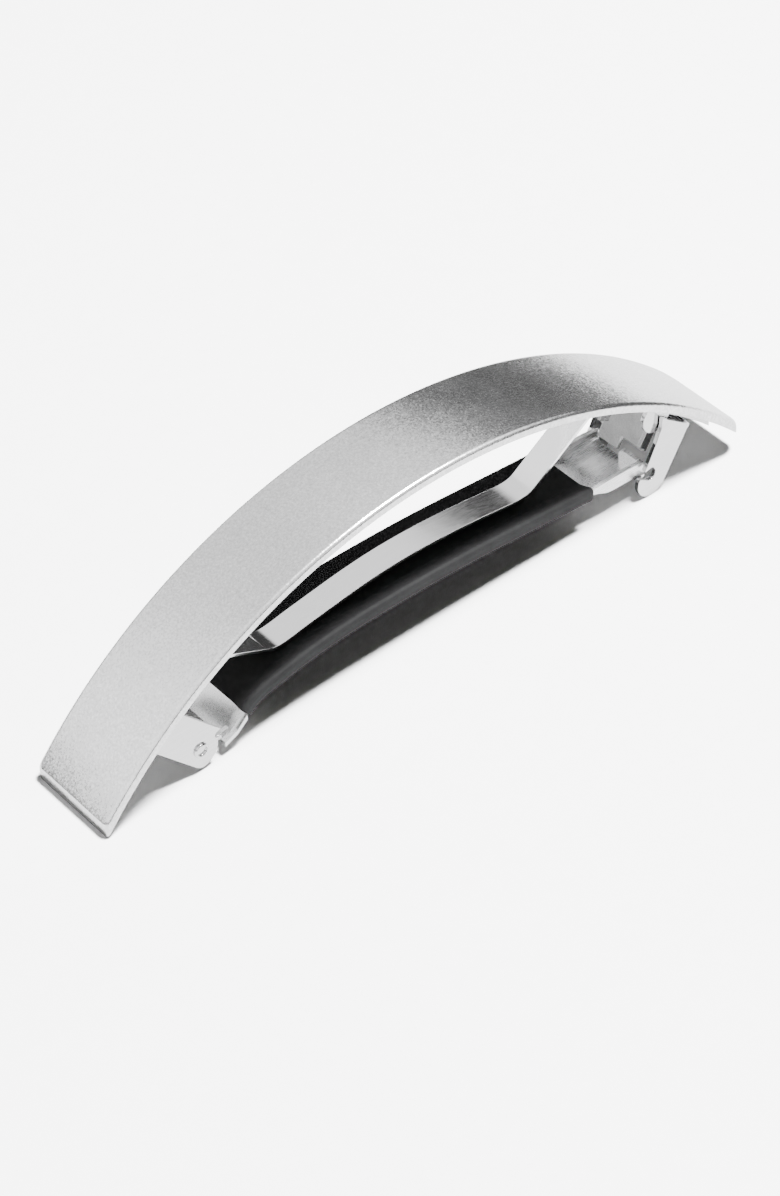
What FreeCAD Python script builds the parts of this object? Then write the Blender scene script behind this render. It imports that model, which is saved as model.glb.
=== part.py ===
import FreeCAD, Part
import math
import os
import Sketcher

# Arched barrette with a French clip under its cover.
# Frame: +X to the catch end, +Y across the width, +Z up, millimetres.
# z = 0 is the table: the cover's hinge-side lower edge and the two catch feet stand on it.
# x = 0, y = 0 is the middle of the cover.

V = FreeCAD.Vector
doc = FreeCAD.newDocument("barrette")
sheet = doc.addObject("Spreadsheet::Sheet", "Sizes")

SIZES = [
    # cover plate: a strip bent to an arc, its ends cut upright
    ("cover_half_length", 46.18), ("cover_width", 12.7), ("cover_thickness", 1.155),
    ("cover_radius", 60.277), ("arc_centre_x", 0.843), ("arc_centre_z", -37.711),
    ("cover_edge_round", 0.4),
    # solder between cover and base
    ("solder_thickness", 0.25), ("solder_width", 6.0), ("solder_inner_x", 23.0), ("solder_outer_x", 32.0),
    # base strip of the clip
    ("base_thickness", 0.6), ("base_width", 8.6), ("base_hinge_x", -38.6), ("base_catch_x", 42.8),
    ("ear_plate_x", -34.3), ("ear_span", 10.0), ("ear_thickness", 0.55), ("tab_thickness", 0.5),
    # hinge rivet
    ("rivet_x", -32.37), ("rivet_z", 3.09), ("shank_radius", 0.62), ("recess_radius", 0.66),
    ("head_radius", 0.95), ("head_height", 0.3), ("lug_hole_radius", 0.67),
    # catch bracket, in its own frame leaning back from the end of the base
    ("catch_x", 37.2), ("catch_z", 9.3), ("catch_lean", 33.0), ("catch_span", 10.0),
    ("catch_thickness", 0.55), ("web_thickness", 0.5), ("web_width", 7.2), ("tongue_width", 3.3),
    ("foot_radius", 2.1), ("foot_centre_u", 0.55), ("root_roll_radius", 0.45),
    ("return_thickness", 0.4),
    # tension spring
    ("spring_width", 3.5), ("spring_thickness", 0.4),
    # lower bar
    ("bar_start_x", -28.3), ("bar_half_width", 4.35), ("bar_floor_half", 2.9), ("bar_rise", 0.7), ("bar_thickness", 0.5),
    ("lug_thickness", 0.5), ("lug_outer", 3.6), ("wing_outer", 4.9),
    ("flange_outer", 4.15), ("flange_thickness", 0.5), ("pin_reach", 0.45), ("lip_thickness", 0.5),
    # rubber sleeve
    ("sleeve_start_x", -25.2), ("sleeve_end_x", 24.3), ("sleeve_half_width", 4.9),
    ("sleeve_wall", 0.7), ("sleeve_fit_gap", 0.04),
]
for row, (name, number) in enumerate(SIZES, start=1):
    sheet.set("A%d" % row, name)
    sheet.set("B%d" % row, str(number))
    sheet.setAlias("B%d" % row, name)
doc.recompute()


def size(name):
    return float(sheet.get(name))


def new_body(label):
    body = doc.addObject("PartDesign::Body", label)
    body.Label = label
    return body


def place(body, x_name, z_name, lean_name=None):
    """Stand a body's own frame at a named point, leaning about Y."""
    lean = size(lean_name) if lean_name else 0.0
    body.Placement = FreeCAD.Placement(V(size(x_name), 0, size(z_name)), FreeCAD.Rotation(V(0, 1, 0), lean))
    body.setExpression("Placement.Base.x", "Sizes." + x_name)
    body.setExpression("Placement.Base.z", "Sizes." + z_name)
    if lean_name:
        body.setExpression("Placement.Rotation.Angle", "Sizes." + lean_name)


def new_sketch(body, name, role="XZ_Plane", offset=None):
    sketch = body.newObject("Sketcher::SketchObject", name)
    plane = [f for f in body.Origin.OriginFeatures if f.Role == role][0]
    sketch.AttachmentSupport = [(plane, "")]
    sketch.MapMode = "FlatFace"
    if offset is not None:
        sketch.AttachmentOffset = offset
    return sketch


def side_sketch(body, name, y=0.0):
    """Side view (X right, Z up) on the plane at this y."""
    return new_sketch(body, name, "XZ_Plane", FreeCAD.Placement(V(0, 0, -y), FreeCAD.Rotation()))


def outline(sketch, points):
    """Closed outline of straight edges."""
    first = sketch.GeometryCount
    count = len(points)
    for i, (a, b) in enumerate(points):
        c, d = points[(i + 1) % count]
        sketch.addGeometry(Part.LineSegment(V(a, b, 0), V(c, d, 0)))
    for i in range(count):
        sketch.addConstraint(Sketcher.Constraint("Coincident", first + i, 2, first + (i + 1) % count, 1))


def circle(sketch, x, z, radius_name):
    index = sketch.addGeometry(Part.Circle(V(x, z, 0), V(0, 0, 1), size(radius_name)))
    item = sketch.addConstraint(Sketcher.Constraint("Radius", index, size(radius_name)))
    sketch.setExpression("Constraints[%d]" % item, "Sizes." + radius_name)


def arc_height(radius, x):
    """Height of a circle about the cover's centre of curvature, over x."""
    return size("arc_centre_z") + math.sqrt(radius ** 2 - (x - size("arc_centre_x")) ** 2)


def arc_band(sketch, radius, thickness, radius_rule, thickness_rule, x_low, x_high):
    """A strip seen from the side: two arcs about the cover's centre, upright end cuts."""
    centre = V(size("arc_centre_x"), size("arc_centre_z"), 0)
    corners = {}
    for level, r in (("low", radius), ("high", radius + thickness)):
        for end, x in (("start", x_low), ("stop", x_high)):
            corners[level, end] = V(x, arc_height(r, x), 0)

    def angle(point):
        return math.atan2(point.y - centre.y, point.x - centre.x)

    for level, r in (("low", radius), ("high", radius + thickness)):
        ring = Part.Circle(centre, V(0, 0, 1), r)
        sketch.addGeometry(Part.ArcOfCircle(ring, angle(corners[level, "stop"]), angle(corners[level, "start"])))
    sketch.addGeometry(Part.LineSegment(corners["low", "start"], corners["high", "start"]))
    sketch.addGeometry(Part.LineSegment(corners["low", "stop"], corners["high", "stop"]))
    for rule in (("Coincident", 0, 3, 1, 3), ("Coincident", 0, 2, 2, 1), ("Coincident", 1, 2, 2, 2),
                 ("Coincident", 0, 1, 3, 1), ("Coincident", 1, 1, 3, 2), ("Vertical", 2), ("Vertical", 3)):
        sketch.addConstraint(Sketcher.Constraint(*rule))
    driven = [
        (("DistanceX", -1, 1, 0, 3, centre.x), "Sizes.arc_centre_x"),
        (("DistanceY", -1, 1, 0, 3, centre.y), "Sizes.arc_centre_z"),
        (("Radius", 0, radius), radius_rule),
        (("Radius", 1, radius + thickness), radius_rule + " + " + thickness_rule),
    ]
    for rule, formula in driven:
        item = sketch.addConstraint(Sketcher.Constraint(*rule))
        sketch.setExpression("Constraints[%d]" % item, formula)
    sketch.addConstraint(Sketcher.Constraint("DistanceX", -1, 1, 2, 1, x_low))
    sketch.addConstraint(Sketcher.Constraint("DistanceX", -1, 1, 3, 1, x_high))


def pad(body, sketch, name, length_rule, symmetric=False, toward_plus_y=False):
    """Thicken a side view along Y."""
    feature = body.newObject("PartDesign::Pad", name)
    feature.Profile = sketch
    feature.SideType = "Symmetric" if symmetric else "One side"
    feature.Reversed = toward_plus_y
    feature.setExpression("Length", length_rule)
    doc.recompute()
    return feature


def through_hole(body, name, x, z, radius_name):
    """Bore along Y through everything."""
    sketch = side_sketch(body, name + "_sketch")
    circle(sketch, x, z, radius_name)
    pocket = body.newObject("PartDesign::Pocket", name)
    pocket.Profile = sketch
    pocket.Type = "ThroughAll"
    pocket.SideType = "Symmetric"
    doc.recompute()
    return pocket


def mirror_across(body, features, name):
    """Repeat features on the other side of the middle plane."""
    plane = [f for f in body.Origin.OriginFeatures if f.Role == "XZ_Plane"][0]
    mirror = body.newObject("PartDesign::Mirrored", name)
    mirror.Originals = features
    mirror.MirrorPlane = (plane, [""])
    body.Tip = mirror
    doc.recompute()
    return mirror


def round_edges(body, base, name, radius_rule, wanted):
    names = ["Edge%d" % (i + 1) for i, edge in enumerate(base.Shape.Edges) if wanted(edge)]
    fillet = body.newObject("PartDesign::Fillet", name)
    fillet.Base = (base, names)
    fillet.setExpression("Radius", radius_rule)
    doc.recompute()
    return fillet


# ---------------------------------------------------------------- cover plate
cover = new_body("cover_plate")
sketch = side_sketch(cover, "cover_side")
arc_band(sketch, size("cover_radius"), size("cover_thickness"), "Sizes.cover_radius",
         "Sizes.cover_thickness", -size("cover_half_length"), size("cover_half_length"))
plate = pad(cover, sketch, "cover_strip", "Sizes.cover_width", symmetric=True)
round_edges(cover, plate, "cover_long_edges", "Sizes.cover_edge_round", lambda e: e.BoundBox.XLength > 60)

# ---------------------------------------------------------------- solder pads
base_top = size("cover_radius") - size("solder_thickness")
for label, side in (("solder_pad_hinge_end", -1), ("solder_pad_catch_end", 1)):
    solder = new_body(label)
    sketch = side_sketch(solder, label + "_side")
    ends = sorted((side * size("solder_inner_x"), side * size("solder_outer_x")))
    arc_band(sketch, base_top, size("solder_thickness"), "Sizes.cover_radius - Sizes.solder_thickness",
             "Sizes.solder_thickness", *ends)
    pad(solder, sketch, label + "_film", "Sizes.solder_width", symmetric=True)

# ---------------------------------------------------------------- clip base with hinge ears and side tabs
base_low = base_top - size("base_thickness")
LOW_RULE = "Sizes.cover_radius - Sizes.solder_thickness - Sizes.base_thickness"
base = new_body("clip_base")
sketch = side_sketch(base, "base_side")
arc_band(sketch, base_low, size("base_thickness"), LOW_RULE, "Sizes.base_thickness",
         size("base_hinge_x"), size("base_catch_x"))
pad(base, sketch, "base_strip", "Sizes.base_width", symmetric=True)
sketch = side_sketch(base, "ear_plate_side")
arc_band(sketch, base_low, size("base_thickness"), LOW_RULE, "Sizes.base_thickness",
         size("base_hinge_x"), size("ear_plate_x"))
pad(base, sketch, "ear_plate", "Sizes.ear_span", symmetric=True)

EAR = [(-38.55, 6.95), (-37.69, 6.01), (-33.16, 0.87), (-32.75, 0.55), (-32.26, 0.40), (-31.55, 0.60),
       (-30.96, 1.04), (-30.45, 1.65), (-30.13, 2.32), (-30.02, 3.40), (-30.42, 3.72), (-30.30, 4.15),
       (-29.60, 4.45), (-33.83, 9.25), (-34.35, 9.90), (-34.60, 10.15), (-38.40, 7.25)]
ear_inner = size("ear_span") / 2 - size("ear_thickness")
sketch = side_sketch(base, "ear_side", -ear_inner)
outline(sketch, EAR)
ear = pad(base, sketch, "ear", "Sizes.ear_thickness")

lean = math.radians(size("catch_lean"))


def down_slope(u, depth):
    """A point u down the slope of the base and depth below it, measured from the catch origin."""
    return (size("catch_x") + u * math.cos(lean) - depth * math.sin(lean),
            size("catch_z") - u * math.sin(lean) - depth * math.cos(lean))


TAB_U, TAB_DEPTH, TAB_RADIUS, TAB_ROOT = -2.75, 0.5, 2.0, -0.45
turns = [math.radians(a) for a in range(0, 181, 12)]
TAB = [down_slope(TAB_U + TAB_RADIUS * math.cos(a), TAB_DEPTH + TAB_RADIUS * math.sin(a)) for a in turns]
TAB += [down_slope(TAB_U - TAB_RADIUS, TAB_ROOT), down_slope(TAB_U + TAB_RADIUS, TAB_ROOT)]
sketch = side_sketch(base, "tab_side", -(size("base_width") / 2 - size("tab_thickness")))
outline(sketch, TAB)
tab = pad(base, sketch, "side_tab", "Sizes.tab_thickness")
mirror_across(base, [ear, tab], "far_ear_and_tab")
through_hole(base, "rivet_hole", size("rivet_x"), size("rivet_z"), "shank_radius")

# ---------------------------------------------------------------- hinge rivet with dished heads
rivet = new_body("hinge_rivet")
place(rivet, "rivet_x", "rivet_z")
reach, shank = size("ear_span") / 2, size("shank_radius")
tip = reach + size("head_height")
bevel = 0.13
HEAD = [(0.0, reach + 0.06), (size("recess_radius") - 0.04, reach + 0.06), (size("recess_radius"), tip),
        (size("head_radius") - bevel, tip), (size("head_radius"), tip - bevel), (size("head_radius"), reach)]
RIVET = HEAD + [(shank, reach), (shank, -reach)] + [(r, -y) for r, y in reversed(HEAD)]
sketch = new_sketch(rivet, "rivet_half", "XY_Plane")
outline(sketch, RIVET)
turned = rivet.newObject("PartDesign::Revolution", "rivet_turned")
turned.Profile = sketch
turned.ReferenceAxis = (sketch, ["V_Axis"])
turned.Angle = 360
doc.recompute()

# ---------------------------------------------------------------- catch bracket
# Own frame: u runs down the slope of the base, w points back up along the legs, so w = -depth.
catch = new_body("catch_bracket")
place(catch, "catch_x", "catch_z", "catch_lean")
foot_u, foot_r = size("foot_centre_u"), size("foot_radius")
foot_depth = (size("catch_z") - foot_r - math.sin(lean) * foot_u) / math.cos(lean)
outer_u = foot_u + foot_r
inner_face = size("catch_span") / 2 - size("catch_thickness")

sketch = side_sketch(catch, "top_plate_side")
outline(sketch, [(-0.5, -1.1), (outer_u, -1.1), (outer_u, -0.6), (-0.5, -0.6)])
pad(catch, sketch, "top_plate", "Sizes.catch_span", symmetric=True)

sketch = side_sketch(catch, "top_strip_side")
outline(sketch, [(-1.5, -1.1), (-0.3, -1.1), (-0.3, -0.6), (-1.5, -0.6)])
pad(catch, sketch, "top_strip", "Sizes.web_width", symmetric=True)

sketch = side_sketch(catch, "root_roll_side")
circle(sketch, 2.3, -0.95, "root_roll_radius")
pad(catch, sketch, "root_roll", "Sizes.catch_span", symmetric=True)

LEG_EDGE = [(-1.87, -1.43), (-1.58, -3.63), (-1.33, -6.62), (-1.37, -7.15), (-1.18, -7.18), (-0.51, -6.50),
            (-0.10, -6.52), (0.45, -6.90), (0.62, -7.45), (0.45, -7.95), (-0.05, -8.20), (-1.30, -8.20)]
heel = [(foot_u + foot_r * math.cos(a), -foot_depth - foot_r * math.sin(a))
        for a in [math.radians(d) for d in range(180, -1, -12)]]
sketch = side_sketch(catch, "leg_side", -inner_face)
outline(sketch, [(-2.45, -0.25)] + LEG_EDGE + heel + [(outer_u, -0.7)])
leg = pad(catch, sketch, "leg", "Sizes.catch_thickness")

web_half = size("web_width") / 2
web_front, web_back = -1.5, -1.5 + size("web_thickness")
sketch = side_sketch(catch, "web_side")
outline(sketch, [(web_front, -5.2), (web_back, -5.2), (web_back, -0.8), (web_front, -0.8)])
pad(catch, sketch, "web", "Sizes.web_width", symmetric=True)

sketch = side_sketch(catch, "tongue_side", 0.0)
outline(sketch, [(web_front, -6.8), (web_back, -6.8), (web_back, -5.0), (web_front, -5.0)])
pad(catch, sketch, "tongue", "Sizes.tongue_width", toward_plus_y=True)

sketch = side_sketch(catch, "return_side", -(web_half - size("return_thickness")))
outline(sketch, [(-2.3, -4.9), (web_back, -4.9), (web_back, -1.6), (-2.3, -1.6)])
web_return = pad(catch, sketch, "web_return", "Sizes.return_thickness")
mirror_across(catch, [leg, web_return], "far_leg_and_return")

# ---------------------------------------------------------------- tension spring
half_leaf = size("spring_thickness") / 2
BOW = [(-20.6, 7.90), (-19.7, 7.45), (-18.6, 7.25), (-15.8, 7.55), (-12.9, 7.95), (-8.6, 8.50), (-1.4, 8.95),
       (5.8, 8.60), (13.1, 7.70), (16.4, 7.35), (17.6, 7.50), (18.6, 8.05), (19.5, 8.65)]
LEG_SLOPES = (-0.48, 0.66)


def seat(x):
    """Middle of the leaf where it lies against the base, over x."""
    return arc_height(base_low - half_leaf - 0.03, x)


def knee_beyond(point, rise, turn):
    """Where a straight leg leaving the bow meets the base."""
    x, z = point
    knee = x
    while z + rise * (knee - x) < seat(knee) - 0.12:
        knee += turn * 0.05
    return knee, z + rise * (knee - x)


knees = [knee_beyond(BOW[0], LEG_SLOPES[0], -1), knee_beyond(BOW[-1], LEG_SLOPES[1], 1)]
toes = [(knees[0][0] - 3.0, seat(knees[0][0] - 3.0) - 0.05), (knees[1][0] + 3.0, seat(knees[1][0] + 3.0) - 0.05)]
centre_line = [V(x, z, 0) for x, z in [toes[0], knees[0]] + BOW + [knees[1], toes[1]]]


def beside(points, distance):
    """A line of points moved sideways, mitred at each corner."""
    moved = []
    for i, point in enumerate(points):
        before = (point - points[i - 1]).normalize() if i else (points[1] - point).normalize()
        after = (points[i + 1] - point).normalize() if i + 1 < len(points) else before
        normal = V(-before.y - after.y, before.x + after.x, 0).normalize()
        moved.append(point + normal * (distance / (normal * V(-after.y, after.x, 0))))
    return moved


def bow_curve(points):
    """Smooth bow through the middle points."""
    curve = Part.BSplineCurve()
    curve.interpolate(points[2:-2])
    return curve


spring = new_body("tension_spring")
leaf = side_sketch(spring, "leaf_side")
faces = [beside(centre_line, half_leaf), beside(centre_line, -half_leaf)]
for face in faces:
    for start in (0, 1, -3, -2):
        leaf.addGeometry(Part.LineSegment(face[start], face[start + 1] if start != -2 else face[-1]))
    leaf.addGeometry(bow_curve(face))
for end in (0, -1):
    leaf.addGeometry(Part.LineSegment(faces[0][end], faces[1][end]))
pad(spring, leaf, "leaf", "Sizes.spring_width", symmetric=True)


def across(start, tangent):
    """Sketch plane square to a path at its start: sketch x is Y, sketch y is up."""
    tilt = math.degrees(math.atan2(tangent.y, tangent.x))
    return FreeCAD.Placement(V(0, start.y, start.x), FreeCAD.Rotation(V(1, 0, 0), -tilt))


# ---------------------------------------------------------------- lower bar
# Underside of the bar's floor, from the hinge end to the catch end.
BAR_LINE = [(-29.2, 0.60), (-27.3, 1.45), (-25.7, 2.85), (-24.2, 4.05), (-21.1, 5.00), (-18.3, 5.50),
            (-11.0, 6.22), (-4.0, 6.25), (3.1, 6.00), (10.4, 5.45), (17.8, 4.75), (22.4, 4.35),
            (24.6, 3.95), (26.6, 2.95), (29.0, 2.60), (32.7, 2.50)]
floor_curve = Part.BSplineCurve()
floor_curve.interpolate([V(x, z, 0) for x, z in BAR_LINE])


def stretch(x_low, x_high):
    """The part of the bar's line between two x values."""
    def parameter(x):
        low, high = floor_curve.FirstParameter, floor_curve.LastParameter
        for _ in range(60):
            middle = (low + high) / 2
            low, high = (middle, high) if floor_curve.value(middle).x < x else (low, middle)
        return low
    part = floor_curve.copy()
    part.segment(parameter(x_low), parameter(x_high))
    return part


def sweep(body, name, curve, points, kind="PartDesign::AdditivePipe"):
    spine = side_sketch(body, name + "_path")
    spine.addGeometry(curve)
    doc.recompute()
    cut = new_sketch(body, name + "_section", "YZ_Plane",
                     across(curve.value(curve.FirstParameter), curve.tangent(curve.FirstParameter)[0]))
    outline(cut, points)
    feature = body.newObject(kind, name)
    feature.Profile = cut
    feature.Spine = (spine, ["Edge1"])
    doc.recompute()
    return feature


def dish(half, floor, rise, low, high):
    """Shallow trough section: flat floor, raised sides."""
    return [(-half, rise + low), (-floor, low), (floor, low), (half, rise + low),
            (half, rise + high), (floor, high), (-floor, high), (-half, rise + high)]


bar = new_body("lower_bar")
bar_section = dish(size("bar_half_width"), size("bar_floor_half"), size("bar_rise"), 0.0, size("bar_thickness"))
sweep(bar, "bar_trough", stretch(size("bar_start_x"), BAR_LINE[-1][0] - 0.001), bar_section)

# Past the sleeve the trough is trimmed to the width of the flanges.
sketch = side_sketch(bar, "trim_side", -size("flange_outer"))
outline(sketch, [(24.45, 1.0), (33.5, 1.0), (33.5, 6.0), (24.45, 6.0)])
trim = bar.newObject("PartDesign::Pocket", "trim")
trim.Profile = sketch
trim.Type = "Length"
trim.Reversed = True
trim.Length = 1.0
mirror_across(bar, [trim], "far_trim")

WING = [(-29.1, 1.24), (-27.3, 2.02), (-25.85, 3.25), (-25.85, 3.95), (-27.3, 2.62), (-29.1, 1.85)]
sketch = side_sketch(bar, "wing_side", -(size("bar_half_width") - 0.25))
outline(sketch, WING)
wing = pad(bar, sketch, "wing", "Sizes.wing_outer - Sizes.bar_half_width + 0.25")

LUG = [(-33.25, 1.75), (-32.4, 1.35), (-31.4, 1.20), (-30.4, 1.20), (-29.2, 1.25), (-28.3, 1.35),
       (-27.6, 1.65), (-27.6, 2.30), (-28.6, 2.10), (-29.8, 2.00), (-30.7, 2.25), (-31.0, 2.90),
       (-31.2, 3.80), (-31.7, 4.50), (-32.6, 4.75), (-33.6, 4.35), (-34.2, 3.30), (-33.95, 2.35)]
sketch = side_sketch(bar, "lug_side", -(size("lug_outer") - size("lug_thickness")))
outline(sketch, LUG)
lug = pad(bar, sketch, "lug", "Sizes.lug_thickness")

FLANGE = [(24.55, 4.85), (25.1, 5.02), (26.3, 5.10), (30.4, 4.98), (32.7, 4.75), (32.7, 2.70), (31.4, 2.70),
          (31.1, 3.10), (29.0, 3.20), (27.0, 3.50), (25.6, 4.10), (24.55, 4.50)]
sketch = side_sketch(bar, "flange_side", -(size("flange_outer") - size("flange_thickness")))
outline(sketch, FLANGE)
flange = pad(bar, sketch, "flange", "Sizes.flange_thickness")

sketch = side_sketch(bar, "pin_side", -(size("flange_outer") - 0.1))
outline(sketch, [(31.95, 3.00), (32.40, 3.00), (32.40, 3.40), (31.95, 3.40)])
pin = pad(bar, sketch, "catch_pin", "Sizes.pin_reach + 0.1")
mirror_across(bar, [wing, lug, flange, pin], "far_side")

# A lip stands across the near half of the end, its inner corner rounded.
LIP_INNER, LIP_TOP, LIP_ROUND = -0.4, 4.75, 0.9
corner = [math.radians(a) for a in range(0, 91, 15)]
LIP = [(-4.05, 3.25), (-2.9, 2.7), (LIP_INNER, 2.7)]
LIP += [(LIP_INNER - LIP_ROUND * (1 - math.cos(a)), LIP_TOP - LIP_ROUND * (1 - math.sin(a))) for a in corner]
LIP += [(-4.05, LIP_TOP)]
sketch = new_sketch(bar, "end_lip_face", "YZ_Plane", FreeCAD.Placement(V(0, 0, 32.2), FreeCAD.Rotation()))
outline(sketch, LIP)
pad(bar, sketch, "end_lip", "Sizes.lip_thickness")
through_hole(bar, "lug_hole", size("rivet_x"), size("rivet_z"), "lug_hole_radius")

# ---------------------------------------------------------------- rubber sleeve
sleeve = new_body("rubber_sleeve")
wall, rise, steel = size("sleeve_wall"), size("bar_rise"), size("bar_thickness")
side_y = size("sleeve_half_width")
RIM = [(side_y - 0.45, rise - wall), (side_y - 0.12, rise - wall + 0.28), (side_y, rise - wall + 0.70),
       (side_y, rise + steel + wall - 0.60), (side_y - 0.12, rise + steel + wall - 0.20),
       (side_y - 0.45, rise + steel + wall)]
half_skin = [(2.9, -wall)] + RIM + [(2.6, steel + wall)]
skin = half_skin + [(-y, z) for y, z in reversed(half_skin)]
curve = stretch(size("sleeve_start_x"), size("sleeve_end_x"))
sweep(sleeve, "sleeve_outside", curve, skin)
gap = size("sleeve_fit_gap")
core = dish(size("bar_half_width") + gap, size("bar_floor_half"), size("bar_rise"), -gap,
            size("bar_thickness") + gap)
sweep(sleeve, "sleeve_inside", curve, core, "PartDesign::SubtractivePipe")

# ---------------------------------------------------------------- check and write
doc.recompute()
for item in doc.Objects:
    if "Invalid" in item.State or "Error" in item.State:
        raise RuntimeError("%s: %s" % (item.Name, item.State))
os.makedirs("parts", exist_ok=True)
for body in [o for o in doc.Objects if o.TypeId == "PartDesign::Body"]:
    if body.Shape.isNull() or not body.Shape.isValid() or len(body.Shape.Solids) != 1:
        raise RuntimeError("%s: bad shape, %d solids" % (body.Label, len(body.Shape.Solids)))
    body.Shape.exportStep("parts/%s.step" % body.Label)
    box = body.Shape.BoundBox
    print("%-22s x %7.2f %7.2f  y %6.2f %6.2f  z %6.2f %6.2f  volume %8.2f" % (
        body.Label, box.XMin, box.XMax, box.YMin, box.YMax, box.ZMin, box.ZMax, body.Shape.Volume))
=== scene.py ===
import math

import bmesh
import bpy
from mathutils import Matrix, Vector


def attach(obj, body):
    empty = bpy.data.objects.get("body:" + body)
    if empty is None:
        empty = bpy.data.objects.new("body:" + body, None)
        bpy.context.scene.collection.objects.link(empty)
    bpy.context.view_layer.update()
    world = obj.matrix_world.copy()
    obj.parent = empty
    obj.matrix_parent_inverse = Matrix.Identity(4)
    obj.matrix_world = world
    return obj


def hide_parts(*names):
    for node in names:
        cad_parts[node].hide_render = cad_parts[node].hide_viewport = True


MM = 0.001
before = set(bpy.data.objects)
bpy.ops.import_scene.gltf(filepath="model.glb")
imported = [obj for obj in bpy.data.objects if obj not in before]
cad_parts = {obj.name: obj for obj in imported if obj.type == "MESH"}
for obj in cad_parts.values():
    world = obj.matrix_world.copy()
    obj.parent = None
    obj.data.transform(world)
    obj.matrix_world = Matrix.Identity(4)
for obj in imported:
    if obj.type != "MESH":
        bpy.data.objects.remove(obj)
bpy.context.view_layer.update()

# The part's own sizes, in millimetres in the row frame
COVER_HALF, COVER_WIDTH, COVER_THICK = 46.18, 12.7, 1.155
COVER_EDGE = (0.15, 0.95)           # rounding of the lower and the upper long edges
COVER_CORNERS = {-1: 0.5, 1: 1.6}   # plan corners at the hinge end and at the catch end
CHAMFER_LONG, CHAMFER_IN = 0.03, 0.10               # small chamfer around each end face of the cover
MIDDLE_START, MIDDLE_LENGTH, MIDDLE_STEPS = -45.4, 89.6, 240        # evenly spaced sections of the cover
ARC_RADIUS, ARC_X, ARC_Z = 60.277, 0.843, -37.711   # underside of the cover
BAR_LINE = [(-29.2, 0.60), (-27.3, 1.45), (-25.7, 2.85), (-24.2, 4.05), (-21.1, 5.00), (-18.3, 5.50),
            (-11.0, 6.22), (-4.0, 6.25), (3.1, 6.00), (10.4, 5.45), (17.8, 4.75), (22.4, 4.35),
            (24.6, 3.95), (26.6, 2.95), (29.0, 2.60), (32.7, 2.50)]
SLEEVE_START, SLEEVE_END = -25.2, 24.3
SLEEVE_HALF, SLEEVE_MIDDLE = 4.9, 0.6               # half width, and the height its ends are pinched towards


# ------------------------------------------------------------------ node helpers
class Nodes:
    """Builds a node material step by step."""

    def __init__(self, name):
        self.material = bpy.data.materials.new(name)
        self.material.use_nodes = True
        self.tree = self.material.node_tree
        self.shader = self.tree.nodes["Principled BSDF"]

    def add(self, kind, inputs=(), **settings):
        node = self.tree.nodes.new(kind)
        for key, setting in settings.items():
            setattr(node, key, setting)
        for key, value in dict(inputs).items():
            self.feed(node.inputs[key], value)
        return node

    def feed(self, socket, value):
        if isinstance(value, bpy.types.NodeSocket):
            self.tree.links.new(value, socket)
        else:
            socket.default_value = value

    def place(self, scale=(1.0, 1.0, 1.0)):
        """Object coordinates in millimetres, stretched by scale."""
        where = self.add("ShaderNodeTexCoord").outputs["Object"]
        grown = [s / MM for s in scale]
        return self.add("ShaderNodeMapping", {"Vector": where, "Scale": grown}).outputs["Vector"]

    def noise(self, where, scale, detail=2.0, rough=0.5):
        node = self.add("ShaderNodeTexNoise", {"Vector": where, "Scale": scale, "Detail": detail,
                                               "Roughness": rough})
        return node.outputs["Fac"]

    def spread(self, value, low, high, to_low, to_high):
        node = self.add("ShaderNodeMapRange", {"Value": value, "From Min": low, "From Max": high,
                                               "To Min": to_low, "To Max": to_high})
        return node.outputs["Result"]

    def tint(self, value, stops):
        ramp = self.add("ShaderNodeValToRGB", {"Fac": value})
        elements = ramp.color_ramp.elements
        for element, (where, colour) in ((elements[0], stops[0]), (elements[1], stops[-1])):
            element.position, element.color = where, (*colour, 1)
        for where, colour in stops[1:-1]:
            elements.new(where).color = (*colour, 1)
        return ramp.outputs["Color"]

    def vector(self, kind, a, b=(0.0, 0.0, 0.0)):
        inputs = {0: a, 1: b}
        return self.add("ShaderNodeVectorMath", inputs, operation=kind).outputs["Vector"]

    def bump(self, height, strength, distance_mm, normal=None):
        inputs = {"Height": height, "Strength": strength, "Distance": distance_mm * MM}
        if normal is not None:
            inputs["Normal"] = normal
        return self.add("ShaderNodeBump", inputs).outputs["Normal"]

    def finish(self, **sockets):
        for key, value in sockets.items():
            self.feed(self.shader.inputs[key.replace("_", " ")], value)
        return self.material


def grey(value):
    """A grey with a breath of blue."""
    return (value, value, value * 1.005)


FLAKES_PER_MM, FLAKE_TILT = 5.5, 0.06
EDGE_ROLL = 0.10                    # millimetres by which sharp sheet edges look rolled


def satin_plate():
    """Bead-blasted silver plating: fine tilted flakes and grain over slow, faint clouds."""
    n = Nodes("satin_plate")
    where = n.place()
    grain = n.noise(where, 3.4, 2.0, 0.7)
    fine = n.noise(where, 11.0, 2.0, 0.5)
    cloud = n.noise(where, 0.16, 2.0, 0.5)
    colour = n.tint(grain, [(0.30, grey(0.58)), (0.55, grey(0.74)), (0.72, grey(0.90))])
    rough = n.spread(cloud, 0.3, 0.7, 0.20, 0.23)
    flake = n.add("ShaderNodeTexVoronoi", {"Vector": where, "Scale": FLAKES_PER_MM}).outputs["Color"]
    tilt = n.vector("SUBTRACT", flake, (0.5,) * 3)
    tilt = n.vector("MULTIPLY", tilt, (FLAKE_TILT,) * 3)
    facing = n.add("ShaderNodeNewGeometry").outputs["Normal"]
    facet = n.vector("NORMALIZE", n.vector("ADD", facing, tilt))
    normal = n.bump(grain, 0.25, 0.03, facet)
    normal = n.bump(fine, 0.2, 0.015, normal)
    return n.finish(Base_Color=colour, Metallic=1.0, Roughness=rough, Normal=normal)


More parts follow.
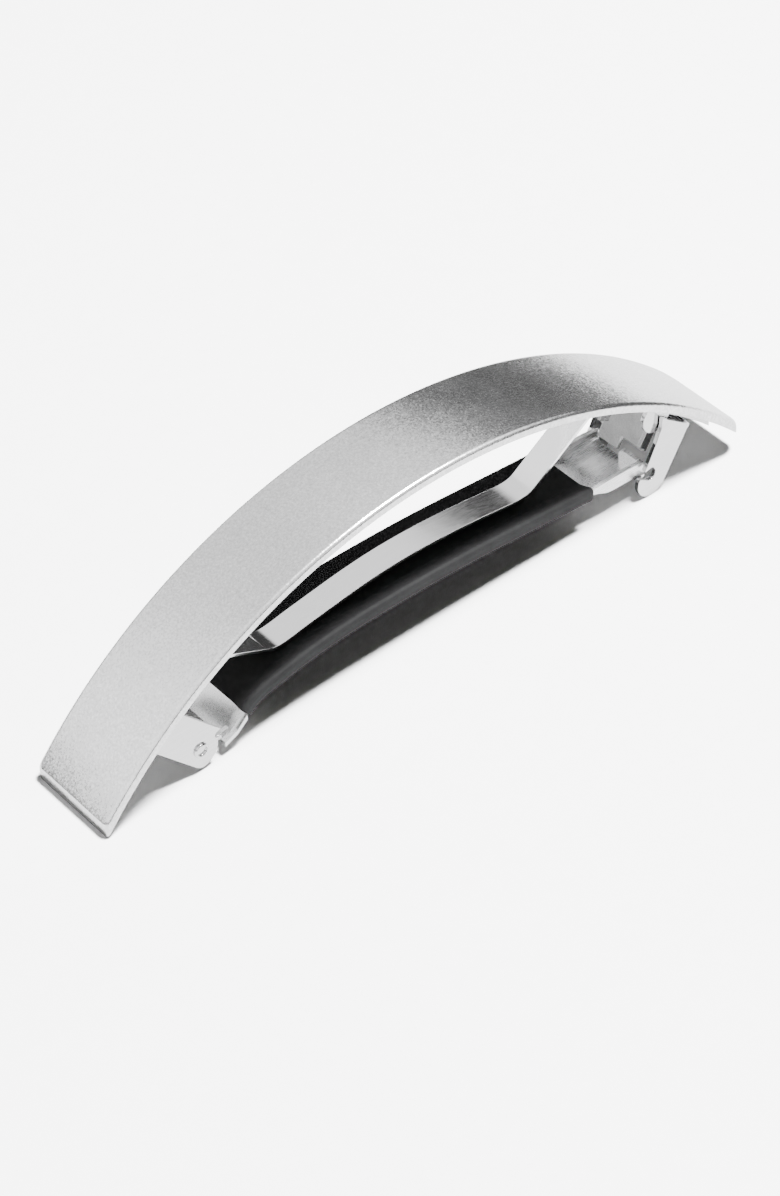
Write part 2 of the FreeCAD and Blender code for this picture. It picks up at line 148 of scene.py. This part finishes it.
def bright_nickel(name, tone, rough_low, rough_high, lines):
    """Plated sheet with faint drawing lines along it, slight waviness and softly rolled edges."""
    n = Nodes(name)
    along = n.noise(n.place((0.05, 1.0, 1.0)), lines, 3.0, 0.6)
    wave = n.noise(n.place(), 0.35, 1.0, 0.4)
    colour = n.tint(along, [(0.3, grey(tone - 0.05)), (0.7, grey(tone + 0.04))])
    rough = n.spread(along, 0.3, 0.7, rough_low, rough_high)
    rolled = n.add("ShaderNodeBevel", {"Radius": EDGE_ROLL * MM}, samples=6).outputs["Normal"]
    normal = n.bump(wave, 0.15, 0.06, rolled)
    normal = n.bump(along, 0.10, 0.01, normal)
    return n.finish(Base_Color=colour, Metallic=1.0, Roughness=rough, Normal=normal)


def black_rubber():
    """Moulded rubber: near black, satin, with a very fine skin texture."""
    n = Nodes("black_rubber")
    where = n.place()
    skin = n.noise(where, 7.0, 4.0, 0.6)
    dust = n.noise(where, 0.5, 3.0, 0.55)
    colour = n.tint(dust, [(0.3, (0.009, 0.009, 0.0093)), (0.7, (0.013, 0.013, 0.0134))])
    rough = n.spread(skin, 0.3, 0.7, 0.62, 0.72)
    normal = n.bump(skin, 0.10, 0.02)
    return n.finish(Base_Color=colour, Roughness=rough, Normal=normal, Specular_IOR_Level=0.10)


def soft_solder():
    """Dull, lumpy grey metal."""
    n = Nodes("solder")
    lump = n.noise(n.place(), 1.3, 3.0, 0.6)
    colour = n.tint(lump, [(0.3, grey(0.36)), (0.7, grey(0.5))])
    return n.finish(Base_Color=colour, Metallic=1.0, Roughness=0.5, Normal=n.bump(lump, 0.5, 0.1))


SATIN = satin_plate()
NICKEL = bright_nickel("polished_nickel", 0.62, 0.07, 0.12, 6.0)
BRUSHED = bright_nickel("brushed_nickel", 0.72, 0.24, 0.32, 9.0)
SPRING = bright_nickel("spring_steel", 0.95, 0.10, 0.16, 5.0)
RUBBER = black_rubber()
SOLDER = soft_solder()


# ------------------------------------------------------------------ mesh helpers
def make_piece(name, verts, faces, material, body, replaced, smooth):
    """A closed mesh from millimetres, riding a body; edges sharper than smooth degrees stay sharp."""
    mesh = bpy.data.meshes.new(name)
    mesh.from_pydata([Vector(v) * MM for v in verts], [], faces)
    work = bmesh.new()
    work.from_mesh(mesh)
    bmesh.ops.remove_doubles(work, verts=work.verts, dist=1e-7)
    bmesh.ops.recalc_face_normals(work, faces=work.faces)
    work.to_mesh(mesh)
    work.free()
    mesh.materials.append(material)
    mesh.shade_smooth()
    mesh.set_sharp_from_angle(angle=math.radians(smooth))
    piece = bpy.data.objects.new(name, mesh)
    bpy.context.scene.collection.objects.link(piece)
    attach(piece, body)
    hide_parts(*replaced)
    return piece


def skin_rings(rings):
    """Quads between closed rings of equal length, with a cap at each end."""
    count = len(rings[0])
    verts = [p for ring in rings for p in ring]
    faces = []
    for i in range(len(rings) - 1):
        for j in range(count):
            k = (j + 1) % count
            faces.append((i * count + j, i * count + k, (i + 1) * count + k, (i + 1) * count + j))
    faces.append(tuple(range(count)))
    faces.append(tuple((len(rings) - 1) * count + j for j in range(count)))
    return verts, faces


SIDE_SHARE, NEARLY_STRAIGHT = 0.48, math.radians(176)   # most of a side that one corner may take


def round_corners(points, radii, steps):
    """A closed outline with each corner turned into a small arc, one radius per corner."""
    count = len(points)
    out = []
    for i, r in enumerate(radii):
        here, before, after = (Vector(points[j % count]) for j in (i, i - 1, i + 1))
        a, b = (before - here), (after - here)
        la, lb = a.length, b.length
        a.normalize(), b.normalize()
        angle = a.angle(b)
        if r <= 0 or angle > NEARLY_STRAIGHT:
            out.append(tuple(here))
            continue
        cut = min(r / math.tan(angle / 2), la * SIDE_SHARE, lb * SIDE_SHARE)
        true_r = cut * math.tan(angle / 2)
        centre = here + (a + b).normalized() * (true_r / math.sin(angle / 2))
        start, stop = here + a * cut - centre, here + b * cut - centre
        turn = start.angle_signed(stop)
        for s in range(steps + 1):
            spin = -turn * s / steps
            out.append((centre.x + start.x * math.cos(spin) - start.y * math.sin(spin),
                        centre.y + start.x * math.sin(spin) + start.y * math.cos(spin)))
    return out


# ------------------------------------------------------------------ cover plate
def cover_section(half, inset):
    """Pillowed section: y across, f from 0 at the underside to 1 at the top."""
    low, high = inset, COVER_THICK - inset
    outline = [(-half, low), (half, low), (half, high), (-half, high)]
    under, over = (radius - inset for radius in COVER_EDGE)
    return [(y, h / COVER_THICK) for y, h in round_corners(outline, [under, under, over, over], 10)]


def cover_half_width(x):
    """Half width over x, drawn in along a small arc at each corner of the plate."""
    radius = COVER_CORNERS[1 if x > 0 else -1]
    beyond = abs(x) - (COVER_HALF - radius)
    drawn_in = radius - math.sqrt(max(radius ** 2 - beyond ** 2, 0.0)) if beyond > 0 else 0.0
    return COVER_WIDTH / 2 - drawn_in


def build_cover():
    """The arched plate: sections square to the vertical plane, closer together at both ends."""
    stations = []
    for side in (-1, 1):
        radius, end = COVER_CORNERS[side], []
        for k in range(13):
            angle = math.radians(90 * k / 12)
            end.append((side * (COVER_HALF - radius + (radius - CHAMFER_LONG) * math.sin(angle)), 0.0))
        end.append((side * COVER_HALF, CHAMFER_IN))
        stations.append(end)
    middle = [(MIDDLE_START + MIDDLE_LENGTH * i / MIDDLE_STEPS, 0.0) for i in range(MIDDLE_STEPS + 1)]
    rings = []
    for x, inset in stations[0][::-1] + middle + stations[1]:
        ring = []
        within = min(max(x, -COVER_HALF + CHAMFER_LONG), COVER_HALF - CHAMFER_LONG)
        for y, f in cover_section(cover_half_width(within) - inset, inset):
            r = ARC_RADIUS + f * COVER_THICK
            ring.append((x, y, ARC_Z + math.sqrt(r * r - (x - ARC_X) ** 2)))
        rings.append(ring)
    verts, faces = skin_rings(rings)
    return make_piece("cover", verts, faces, SATIN, "cover_and_base", ["cover_plate"], 50)


build_cover()


# ------------------------------------------------------------------ smooth line through stations
def spline(points, per_span=14):
    """Natural cubic spline through points, by chord length; gives (point, direction) pairs."""
    xs = [0.0]
    for a, b in zip(points, points[1:]):
        xs.append(xs[-1] + math.dist(a, b))
    columns = []
    for axis in (0, 1):
        ys = [p[axis] for p in points]
        n = len(xs)
        h = [xs[i + 1] - xs[i] for i in range(n - 1)]
        low, mid, up, rhs = [0.0] * n, [1.0] * n, [0.0] * n, [0.0] * n
        for i in range(1, n - 1):
            low[i], mid[i], up[i] = h[i - 1], 2 * (h[i - 1] + h[i]), h[i]
            rhs[i] = 6 * ((ys[i + 1] - ys[i]) / h[i] - (ys[i] - ys[i - 1]) / h[i - 1])
        for i in range(1, n):
            factor = low[i] / mid[i - 1]
            mid[i] -= factor * up[i - 1]
            rhs[i] -= factor * rhs[i - 1]
        m = [0.0] * n
        m[-1] = rhs[-1] / mid[-1]
        for i in range(n - 2, -1, -1):
            m[i] = (rhs[i] - up[i] * m[i + 1]) / mid[i]
        columns.append((ys, h, m))
    out = []
    for i in range(len(xs) - 1):
        for k in range(per_span + (1 if i == len(xs) - 2 else 0)):
            t = k / per_span
            value, slope = [], []
            for ys, h, m in columns:
                a, b = 1 - t, t
                bend = (a ** 3 - a) * m[i] + (b ** 3 - b) * m[i + 1]
                value.append(a * ys[i] + b * ys[i + 1] + bend * h[i] ** 2 / 6)
                slope.append((ys[i + 1] - ys[i]) / h[i]
                             + ((1 - 3 * a * a) * m[i] + (3 * b * b - 1) * m[i + 1]) * h[i] / 6)
            out.append((Vector(value), Vector(slope).normalized()))
    return out


def sweep(line, section_at):
    """Rings of a section (y, height) carried square to a line in the XZ plane."""
    rings = []
    for i, (point, direction) in enumerate(line):
        up = Vector((-direction.y, direction.x))
        rings.append([(point.x + up.x * h, y, point.y + up.y * h) for y, h in section_at(i)])
    return skin_rings(rings)


def build_sleeve():
    """The rubber tube over the bar: one section swept along the bar's line, its ends pinched in a little."""
    line = [(p, d) for p, d in spline(BAR_LINE) if SLEEVE_START < p.x < SLEEVE_END]
    side = [(4.45, 0.0), (4.82, 0.25), (4.90, 0.70), (4.90, 1.25), (4.80, 1.68), (4.45, 1.90)]
    side_radii = [0.45, 0.3, 0.5, 0.5, 0.35, 0.5]
    outline = ([(-2.75, -0.70), (2.75, -0.70)] + side + [(2.55, 1.20), (-2.55, 1.20)]
               + [(-y, h) for y, h in reversed(side)])
    outline = round_corners(outline, [1.5, 1.5] + side_radii + [1.8, 1.8] + side_radii[::-1], 5)
    last = len(line) - 1

    def section(i):
        pinch = 0.10 if i in (0, last) else 0.02 if i in (1, last - 1) else 0.0
        return [(y * (1 - pinch / SLEEVE_HALF), h + (SLEEVE_MIDDLE - h) * pinch) for y, h in outline]

    verts, faces = sweep(line, section)
    return make_piece("sleeve", verts, faces, RUBBER, "bar", ["rubber_sleeve"], 60)


build_sleeve()

# ------------------------------------------------------------------ finishes for the CAD nodes
for node, material in (("clip_base", NICKEL), ("hinge_rivet", NICKEL), ("catch_bracket", NICKEL),
                       ("lower_bar", BRUSHED), ("tension_spring", SPRING),
                       ("solder_pad_hinge_end", SOLDER), ("solder_pad_catch_end", SOLDER)):
    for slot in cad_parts[node].material_slots:
        slot.material = material


# ------------------------------------------------------------------ floor, light, camera
LAMPS_AIM = (0, 0, 0.01)            # metres
FLOOR_REACH = 3                     # metres from the middle to each side
FLOOR_MIRRORED = 0.42               # part of the floor's brightness that glossy reflections see
BACKDROP = 3.4                      # what the camera sees beyond the floor

# Sky and dark wall, as levels over the direction looked in; each pair is the start and end of a soft step
SKY_SIDE, SKY_LOW, SKY_HIGH = (-0.15, -0.75), 1.35, 2.6
WALL_WAY, WALL_EDGE, WALL_TOP, WALL_LEVEL = (1.0, 0.15), (0.38, 0.64), (0.64, 0.52), 0.05
RAIL_TOP = (0.30, 0.14)             # the dark rail all round just above the floor


def build_floor():
    """White paper. Glossy reflections of it are dimmed, as if the sheet were whitened after the exposure."""
    mesh = bpy.data.meshes.new("floor")
    corners = [(x * FLOOR_REACH, y * FLOOR_REACH, 0) for x, y in ((-1, -1), (1, -1), (1, 1), (-1, 1))]
    mesh.from_pydata(corners, [], [(0, 1, 2, 3)])
    n = Nodes("floor")
    paper = n.noise(n.place(), 0.4, 3.0, 0.5)
    colour = n.tint(paper, [(0.3, (0.90, 0.90, 0.90)), (0.7, (0.92, 0.92, 0.92))])
    mirrored = n.add("ShaderNodeLightPath").outputs["Is Glossy Ray"]
    dimmer = n.spread(mirrored, 0.0, 1.0, 1.0, FLOOR_MIRRORED)
    colour = n.vector("MULTIPLY", colour, dimmer)
    mesh.materials.append(n.finish(Base_Color=colour, Roughness=0.9))
    floor = bpy.data.objects.new("floor", mesh)
    bpy.context.scene.collection.objects.link(floor)


def area_light(name, direction, distance, side, power):
    """A square lamp facing the object, a distance away in metres."""
    lamp = bpy.data.lights.new(name, "AREA")
    lamp.shape, lamp.size, lamp.size_y, lamp.energy = "RECTANGLE", side, side, power
    holder = bpy.data.objects.new(name, lamp)
    bpy.context.scene.collection.objects.link(holder)
    way = Vector(direction).normalized()
    holder.location = Vector(LAMPS_AIM) + way * distance
    holder.rotation_euler = way.to_track_quat("Z", "Y").to_euler()


def build_world():
    """A soft studio: brighter on the hinge side, with a dark wall low down beyond the catch end.

    Only glossy reflections see the sky and the wall. The camera sees a flat backdrop, and diffuse
    surfaces are lit by the lamps alone.
    """
    world = bpy.data.worlds.new("studio")
    bpy.context.scene.world = world
    world.use_nodes = True
    tree = world.node_tree

    def add(kind, inputs, **settings):
        node = tree.nodes.new(kind)
        for key, setting in settings.items():
            setattr(node, key, setting)
        for key, value in inputs.items():
            if isinstance(value, bpy.types.NodeSocket):
                tree.links.new(value, node.inputs[key])
            else:
                node.inputs[key].default_value = value
        return node

    def math_node(kind, a, b):
        return add("ShaderNodeMath", {0: a, 1: b}, operation=kind).outputs[0]

    def ramp(value, low, high):
        node = add("ShaderNodeMapRange", {"Value": value, "From Min": low, "From Max": high},
                   interpolation_type="SMOOTHSTEP")
        return node.outputs["Result"]

    way = add("ShaderNodeTexCoord", {}).outputs["Generated"]
    split = add("ShaderNodeSeparateXYZ", {"Vector": way})
    toward = math_node("ADD", math_node("MULTIPLY", split.outputs["X"], WALL_WAY[0]),
                       math_node("MULTIPLY", split.outputs["Y"], WALL_WAY[1]))
    wall = math_node("MAXIMUM", ramp(split.outputs["Z"], *RAIL_TOP),
                     math_node("MULTIPLY", ramp(toward, *WALL_EDGE), ramp(split.outputs["Z"], *WALL_TOP)))
    glow = ramp(split.outputs["X"], *SKY_SIDE)
    sky = math_node("ADD", math_node("MULTIPLY", glow, SKY_HIGH - SKY_LOW), SKY_LOW)
    light = math_node("ADD", math_node("MULTIPLY", math_node("SUBTRACT", WALL_LEVEL, sky), wall), sky)
    seen = add("ShaderNodeLightPath", {}).outputs["Is Camera Ray"]
    light = math_node("ADD", math_node("MULTIPLY", math_node("SUBTRACT", BACKDROP, light), seen), light)
    tree.links.new(light, tree.nodes["Background"].inputs["Strength"])
    tree.nodes["Background"].inputs["Color"].default_value = (1, 1, 1, 1)
    world.cycles_visibility.diffuse = False


build_floor()
build_world()
area_light("key", (0.30, -0.15, 1.0), distance=0.9, side=0.16, power=72.0)
area_light("fill", (-0.2, -0.3, 1.0), distance=1.2, side=1.4, power=0.2)

# The camera, found from the object's outline in the view: place in millimetres, angles in degrees
FRAME_HEIGHT, FOCAL_LENGTH, SENSOR_HEIGHT = 1196, 3806.5, 36.0      # pixels, pixels, millimetres
CAMERA_AT = Vector((-187.530, -249.743, 293.633)) * MM
AZIMUTH, ELEVATION, ROLL = (math.radians(a) for a in (-36.630, 43.087, -4.314))
back = Vector((math.sin(AZIMUTH) * math.cos(ELEVATION), -math.cos(AZIMUTH) * math.cos(ELEVATION),
               math.sin(ELEVATION)))
level = Vector((0, 0, 1)).cross(back).normalized()
upright = back.cross(level)
right = level * math.cos(ROLL) + upright * math.sin(ROLL)
up = upright * math.cos(ROLL) - level * math.sin(ROLL)
camera = bpy.data.objects.new("camera", bpy.data.cameras.new("camera"))
bpy.context.scene.collection.objects.link(camera)
turn = Matrix((right, up, back)).transposed().to_4x4()
camera.matrix_world = Matrix.Translation(CAMERA_AT) @ turn
camera.data.sensor_width = SENSOR_HEIGHT
camera.data.lens = SENSOR_HEIGHT * FOCAL_LENGTH / FRAME_HEIGHT
camera.data.clip_start = 0.01
bpy.context.scene.camera = camera
